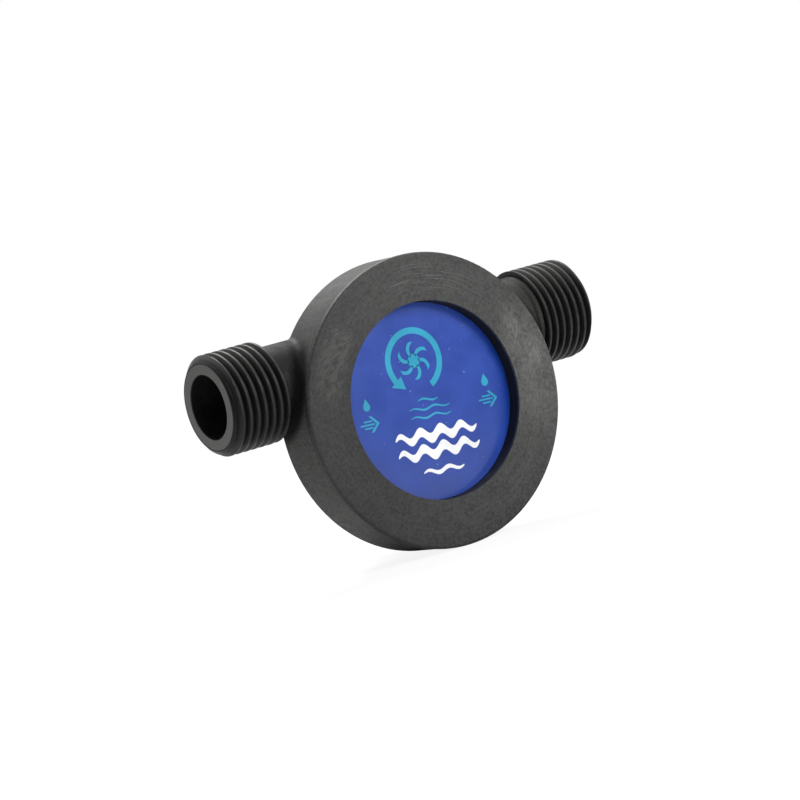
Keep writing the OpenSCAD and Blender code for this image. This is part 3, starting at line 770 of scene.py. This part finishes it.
def thread_finish(colours, wear):
    """The same plastic on the threads, smoother and rubbed along the crests, with painted light on the
    upper side and painted shade in the roots.
    """
    finish, tree, vector = new_finish("Moulded thread")
    base, grain = moulding_base(tree, vector, toned(colours.polished, 0.55), 0.4)
    radius = port_radius(tree, vector)
    rubbed = ramp(tree, radius, CREST_R - 0.22 * MM, CREST_R - 0.02 * MM)
    broken = ramp(tree, noise(tree, vector, 700, 3, 0.6), 0.3, 0.6, 0.35, 1.0)
    # Painted light: the threads are painted paler on their upper side.
    dusty = ramp(tree, split(tree, vector)[2], PORT_Z + 2.5 * MM, PORT_Z + 9.5 * MM, 0.0, wear.dust)
    mask = times(tree, times(tree, rubbed, broken), wear.crests, dusty)
    worn = blend(tree, mask, base, colours.moulding_worn)
    # Painted shade: the threads darken towards the bottom of each root.
    oiled = ramp(tree, radius, CREST_R - 0.95 * MM, CREST_R - 0.4 * MM, 0.1, 1.0)
    set_surface(tree, shaded(tree, worn, oiled), times(tree, grain["Mottle"], 0.10, 0.42), grain["Height"],
                0.012, {"Specular IOR Level": 0.20})
    return finish


def film_finish(name, tone, rough, coat, edge=None):
    """Printed film: small dust specks, faint ripple, a gloss coat and a painted highlight in the edge
    colour on its side faces.
    """
    finish, tree, vector = new_finish(name)
    marks = place(tree, "Blotches", vector, Size=7.0)
    cloud = blend(tree, marks["Blotch"], toned(tone, 0.93), toned(tone, 1.07))
    dust = ramp(tree, noise(tree, vector, 900, 2, 0.6), 0.70, 0.78)
    dusty = blend(tree, times(tree, dust, 0.2), cloud, (0.55, 0.57, 0.62))
    # Painted highlight: the film's side faces take the edge colour.
    facing = split(tree, add(tree, "ShaderNodeNewGeometry").outputs["Normal"])[1]
    cut = sums(tree, "GREATER_THAN", facing, -0.6)
    set_surface(tree, blend(tree, cut, dusty, edge or tone), times(tree, marks["Blotch"], 0.08, rough),
                noise(tree, vector, 420, 1, 0.5), 0.01, {"Coat Weight": coat, "Coat Roughness": 0.12})
    return finish


def rubber_finish(name, tone):
    """Black rubber with a pale bloom in cloudy patches."""
    finish, tree, vector = new_finish(name)
    grain = place(tree, "Moulded grain", vector, Grain=0.3, Cloud=4.0)
    bloom = blend(tree, times(tree, grain["Mottle"], 0.5), tone, [c * 3 + 0.01 for c in tone])
    set_surface(tree, bloom, times(tree, grain["Speckle"], 0.15, 0.58), grain["Height"], 0.012, {})
    return finish


def turned_metal_finish(name, tone, spacing, rough, depth):
    """Bare metal with marks of turning or grinding, whose spacing and depth are in millimetres."""
    finish, tree, vector = new_finish(name)
    marks = place(tree, "Turned marks", vector, Spacing=spacing)
    stain = place(tree, "Blotches", vector, Size=3.0)["Blotch"]
    lined = blend(tree, marks["Mask"], toned(tone, 0.86), toned(tone, 1.10))
    stained = blend(tree, times(tree, stain, 0.25), lined, toned(tone, 0.62))
    set_surface(tree, stained, times(tree, marks["Mask"], 0.14, rough), marks["Height"], depth, METAL)
    return finish


def plated_finish(tone):
    """Zinc plate: cloudy, a little blue and yellow, with a fine pickled grain."""
    finish, tree, vector = new_finish("Zinc plate")
    cloud = place(tree, "Blotches", vector, Size=1.4)
    grain = place(tree, "Moulded grain", vector, Grain=0.12, Cloud=0.9)
    tint = blend(tree, cloud["Blotch"], tone, (0.66, 0.62, 0.52))
    spotted = blend(tree, times(tree, cloud["Specks"], 0.5), tint, (0.30, 0.30, 0.31))
    set_surface(tree, spotted, times(tree, grain["Mottle"], 0.16, 0.24), grain["Height"], 0.006, METAL)
    return finish


def sintered_finish(tone):
    """Sintered bronze: open pores, dark with oil."""
    finish, tree, vector = new_finish("Sintered bronze")
    pores = place(tree, "Blotches", vector, Size=1.2)
    marks = place(tree, "Turned marks", vector, Spacing=0.1)
    lined = blend(tree, marks["Mask"], toned(tone, 0.85), toned(tone, 1.12))
    porous = blend(tree, pores["Specks"], lined, toned(tone, 0.2))
    set_surface(tree, porous, times(tree, pores["Blotch"], 0.15, 0.36), times(tree, pores["Specks"], -1.0),
                0.02, METAL)
    return finish


def pale_plastic_finish(name, tone):
    """Natural acetal or nylon: waxy, with faint flow marks."""
    finish, tree, vector = new_finish(name)
    flow = place(tree, "Fine lines", vector, Stretch=(300.0, 900.0, 300.0), Strength=1.0)
    cloudy = blend(tree, flow["Mask"], toned(tone, 0.93), tone)
    set_surface(tree, cloudy, times(tree, flow["Mask"], 0.1, 0.36), flow["Height"], 0.006,
                {"Subsurface Weight": 0.15, "Subsurface Radius": (1.2 * MM, 1.0 * MM, 0.8 * MM)})
    return finish


def dress(finish, *nodes):
    """Gives packed nodes their finish."""
    for node in nodes:
        for slot in frame["nodes"][node].material_slots:
            slot.material = finish


# Stage

# Each lamp's name, the setting of its power, its size and its place, in metres.
LAMPS = (("Key", "key_power", 0.14, (0.09, -0.28, 0.12)),
         ("Rim", "rim_power", 0.24, (0.05, 0.20, 0.44)),
         ("Fill", "fill_power", 0.40, (-0.50, -0.40, 0.10)))


def lamp(name, power, size, spot, aim):
    """A square soft lamp that looks at a point."""
    data = bpy.data.lights.new(name, "AREA")
    data.shape = "SQUARE"
    data.size = size
    data.energy = power
    light = bpy.data.objects.new(name, data)
    bpy.context.scene.collection.objects.link(light)
    light.location = spot
    light.rotation_mode = "QUATERNION"
    light.rotation_quaternion = (Vector(aim) - Vector(spot)).to_track_quat("-Z", "Y")


def floor_finish(stage):
    """White floor that fades into the backdrop, and keeps the pump's shadow."""
    finish = bpy.data.materials.new("Floor")
    finish.use_nodes = True
    tree = finish.node_tree
    tree.nodes.remove(tree.nodes["Principled BSDF"])
    away = vectors(tree, "LENGTH", add(tree, "ShaderNodeTexCoord").outputs["Object"])["Value"]
    fade = ramp(tree, away, stage.floor_radius * 0.25, stage.floor_radius * 0.9)
    lit = add(tree, "ShaderNodeBsdfDiffuse", {"Color": (0.8, 0.8, 0.8)}).outputs[0]
    seen = add(tree, "ShaderNodeBsdfDiffuse", {"Color": [stage.floor_tone] * 3}).outputs[0]
    glow = add(tree, "ShaderNodeEmission", {"Color": (1, 1, 1), "Strength": stage.floor_glow}).outputs[0]
    lifted = add(tree, "ShaderNodeAddShader", {0: seen, 1: glow}).outputs[0]
    camera = add(tree, "ShaderNodeLightPath").outputs["Is Camera Ray"]
    both = add(tree, "ShaderNodeMixShader", {0: camera, 1: lit, 2: lifted}).outputs[0]
    clear = add(tree, "ShaderNodeBsdfTransparent").outputs[0]
    faded = add(tree, "ShaderNodeMixShader", {0: fade, 1: both, 2: clear}).outputs[0]
    tree.links.new(faded, tree.nodes["Material Output"].inputs["Surface"])
    return finish


def set_world(stage):
    """Even light, and a white backdrop that dims towards the front where gloss shows it."""
    world = bpy.data.worlds.new("Backdrop")
    world.use_nodes = True
    bpy.context.scene.world = world
    tree = world.node_tree
    even = tree.nodes["Background"]
    even.inputs["Color"].default_value = (1, 1, 1, 1)
    even.inputs["Strength"].default_value = stage.ambient
    ahead = add(tree, "ShaderNodeTexCoord").outputs["Generated"]
    height = vectors(tree, "DOT_PRODUCT", ahead, (0.0, 0.45, 0.89))["Value"]
    graded = ramp(tree, height, -0.3, 1.0, stage.front, 1.0)
    path = add(tree, "ShaderNodeLightPath").outputs
    straight = sums(tree, "MAXIMUM", path["Is Camera Ray"], path["Is Transmission Ray"])
    strength = sums(tree, "MAXIMUM", graded, straight)
    white = add(tree, "ShaderNodeBackground", {"Color": (1, 1, 1), "Strength": strength}).outputs[0]
    shown = sums(tree, "MAXIMUM", straight, path["Is Glossy Ray"])
    mixed = add(tree, "ShaderNodeMixShader", {0: shown, 1: even.outputs[0], 2: white}).outputs[0]
    tree.links.new(mixed, tree.nodes["World Output"].inputs["Surface"])


# Operators

class PUMP_OT_effects(Operator):
    """Builds the node groups that the finishes share"""
    bl_idname = "pump.effects"
    bl_label = "Shared effects"

    def execute(self, context):
        for build in (build_shaft_place, build_grain, build_strokes, build_lobe, build_lines,
                      build_turned, build_blotches):
            build()
        return {"FINISHED"}


class PUMP_OT_camera(Operator):
    """Adds the camera at the photograph's viewing angle"""
    bl_idname = "pump.camera"
    bl_label = "Camera"

    def execute(self, context):
        stage = context.scene.pump_stage
        az, el, roll = stage.azimuth, stage.elevation, stage.roll
        ahead = Vector((math.sin(az) * math.cos(el), math.cos(az) * math.cos(el), -math.sin(el)))
        level = Vector((math.cos(az), -math.sin(az), 0))
        over = level.cross(ahead)
        right = math.cos(roll) * level + math.sin(roll) * over
        up = math.cos(roll) * over - math.sin(roll) * level
        aim = Vector((0, FACE_Y + stage.aim_depth, 0))
        spot = aim + right * stage.aside - ahead * stage.distance
        data = bpy.data.cameras.new("View")
        data.sensor_width = 36
        data.lens = stage.lens
        data.clip_start = stage.distance / 50
        data.clip_end = stage.distance * 50
        camera = bpy.data.objects.new("View", data)
        context.scene.collection.objects.link(camera)
        camera.matrix_world = Matrix((
            (right.x, up.x, -ahead.x, spot.x),
            (right.y, up.y, -ahead.y, spot.y),
            (right.z, up.z, -ahead.z, spot.z),
            (0, 0, 0, 1)))
        context.scene.camera = camera
        return {"FINISHED"}


class PUMP_OT_stage(Operator):
    """Adds the pale floor, the white backdrop and the soft lamps"""
    bl_idname = "pump.stage"
    bl_label = "Stage"

    def execute(self, context):
        stage = context.scene.pump_stage
        context.scene.view_settings.view_transform = "Standard"
        mesh = bpy.data.meshes.new("Floor")
        work = bmesh.new()
        bmesh.ops.create_circle(work, cap_ends=True, segments=96, radius=stage.floor_radius)
        work.to_mesh(mesh)
        work.free()
        floor = bpy.data.objects.new("Floor", mesh)
        floor.location = (0, 0, FLOOR_Z)
        mesh.materials.append(floor_finish(stage))
        context.scene.collection.objects.link(floor)
        set_world(stage)
        for name, power, size, spot in LAMPS:
            lamp(name, getattr(stage, power), size, spot, (0, FACE_Y, 0))
        return {"FINISHED"}


class PUMP_OT_housing(Operator):
    """Finishes the moulded cover and body"""
    bl_idname = "pump.housing"
    bl_label = "Cover and body"

    def execute(self, context):
        colours, wear = context.scene.pump_colours, context.scene.pump_wear
        dress(cover_finish(colours, wear), "front_cover")
        dress(body_finish(colours, wear, context.scene.pump_fillets.neck_radius), "pump_body")
        return {"FINISHED"}


class PUMP_OT_threads(Operator):
    """Adds the pipe threads on both ports"""
    bl_idname = "pump.threads"
    bl_label = "Port threads"

    def execute(self, context):
        sizes = context.scene.pump_threads
        finish = thread_finish(context.scene.pump_colours, context.scene.pump_wear)
        port_thread("inlet_thread", -1, sizes.inlet_phase, sizes, finish)
        port_thread("outlet_thread", 1, sizes.outlet_phase, sizes, finish)
        return {"FINISHED"}


class PUMP_OT_fillets(Operator):
    """Adds the rounding between each port's neck and the side wall"""
    bl_idname = "pump.fillets"
    bl_label = "Neck fillets"

    def execute(self, context):
        sizes = context.scene.pump_fillets
        finish = bpy.data.materials["Moulded body"]
        neck_fillet("inlet_fillet", -1, sizes, finish)
        neck_fillet("outlet_fillet", 1, sizes, finish)
        return {"FINISHED"}


class PUMP_OT_label(Operator):
    """Finishes the label's film and adds its plain signs"""
    bl_idname = "pump.label"
    bl_label = "Label"

    def execute(self, context):
        sizes, colours = context.scene.pump_label, context.scene.pump_colours
        # The label's white edge colour is a painted highlight on its side faces.
        dress(film_finish("Blue film", colours.label, 0.34, 0.35, edge=colours.white), "front_label")
        cyan = film_finish("Cyan ink", colours.cyan, 0.36, 0.5)
        white = film_finish("White ink", colours.white, 0.36, 0.5)
        centre = [along * MM for along in TURN_SIGN]
        printed("label_turn_arrow", round_arrow(centre, sizes.turn_radius, sizes.turn_width), sizes, cyan)
        printed("label_wheel", wheel(centre, sizes.wheel_radius, vanes=6), sizes, cyan)
        for name, right in (("label_inlet_arrow", -ARROW_ASIDE), ("label_outlet_arrow", ARROW_ASIDE)):
            arrow = flow_arrow((right * MM, ARROW_UP * MM), sizes.arrow_length)
            printed(name, arrow, sizes, cyan)
            printed(name + "_drop", [drop((right * MM, DROP_UP * MM), DROP_TIP * MM)], sizes, cyan)
        for name, bands, ink in (("label_ripples", RIPPLES, cyan), ("label_waves", WAVES, white),
                                 ("label_small_wave", SMALL_WAVE, white)):
            printed(name, [wave(sizes.wave_length, *band) for band in bands], sizes, ink)
        return {"FINISHED"}


class PUMP_OT_screws(Operator):
    """Finishes the cover's screws and the cam's screw"""
    bl_idname = "pump.screws"
    bl_label = "Screws"

    def execute(self, context):
        dress(plated_finish(context.scene.pump_colours.zinc), "cover_screws", "cam_screw")
        return {"FINISHED"}


class PUMP_OT_rubber(Operator):
    """Finishes the seals and the impeller"""
    bl_idname = "pump.rubber"
    bl_label = "Rubber pieces"

    def execute(self, context):
        tone = context.scene.pump_colours.rubber
        dress(rubber_finish("Seal rubber", tone), "cover_seal", "cam_screw_washer", "seal_lip")
        dress(rubber_finish("Impeller rubber", toned(tone, 1.5)), "impeller")
        return {"FINISHED"}


class PUMP_OT_metals(Operator):
    """Finishes the shaft, its pin, clips and bearings, and the steel plates"""
    bl_idname = "pump.metals"
    bl_label = "Metal pieces"

    def execute(self, context):
        colours = context.scene.pump_colours
        # The marks' spacing and depth are in millimetres.
        for name, tone, spacing, rough, depth, nodes in (
                ("Ground steel", colours.steel, 0.09, 0.20, 0.004, ("drive_shaft",)),
                ("Lapped steel", colours.steel, 0.16, 0.26, 0.006,
                 ("front_wear_plate", "rear_wear_plate", "seal_case", "garter_spring", "drive_pin")),
                ("Spring steel", colours.spring, 0.3, 0.38, 0.006, ("front_clip", "rear_clip")),
                ("Turned brass", colours.brass, 0.14, 0.24, 0.008, ("impeller_bush",))):
            dress(turned_metal_finish(name, tone, spacing, rough, depth), *nodes)
        dress(sintered_finish(colours.bronze), "front_bushing", "rear_bushing")
        return {"FINISHED"}


class PUMP_OT_pale_plastics(Operator):
    """Finishes the cam and the thrust washer"""
    bl_idname = "pump.pale_plastics"
    bl_label = "Cam and thrust washer"

    def execute(self, context):
        colours = context.scene.pump_colours
        dress(pale_plastic_finish("Acetal", colours.acetal), "cam")
        dress(pale_plastic_finish("Nylon", colours.nylon), "thrust_washer")
        return {"FINISHED"}


STEPS = (PUMP_OT_effects, PUMP_OT_camera, PUMP_OT_stage, PUMP_OT_housing, PUMP_OT_threads,
         PUMP_OT_fillets, PUMP_OT_label, PUMP_OT_screws, PUMP_OT_rubber, PUMP_OT_metals,
         PUMP_OT_pale_plastics)
SETTINGS = {"pump_threads": PumpThreadSizes, "pump_fillets": PumpFilletSizes,
            "pump_label": PumpLabelSizes, "pump_colours": PumpColours, "pump_wear": PumpWear,
            "pump_stage": PumpStageSettings}


class PUMP_PT_panel(Panel):
    """Lists the pump's settings and steps"""
    bl_idname = "PUMP_PT_panel"
    bl_label = "Drill powered pump"
    bl_space_type = "VIEW_3D"
    bl_region_type = "UI"
    bl_category = "Pump"

    def draw(self, context):
        for step in STEPS:
            self.layout.operator(step.bl_idname)
        for name, group in SETTINGS.items():
            box = self.layout.box()
            box.label(text=group.__doc__)
            for key in group.__annotations__:
                box.prop(getattr(context.scene, name), key)


def register():
    for group in (*SETTINGS.values(), *STEPS, PUMP_PT_panel):
        bpy.utils.register_class(group)
    for name, group in SETTINGS.items():
        setattr(bpy.types.Scene, name, PointerProperty(type=group))


def unregister():
    for name in SETTINGS:
        delattr(bpy.types.Scene, name)
    for group in reversed((*SETTINGS.values(), *STEPS, PUMP_PT_panel)):
        bpy.utils.unregister_class(group)


def main():
    register()
    for step in STEPS:
        group, name = step.bl_idname.split(".")
        getattr(getattr(bpy.ops, group), name)()


if __name__ == "__main__":
    main()
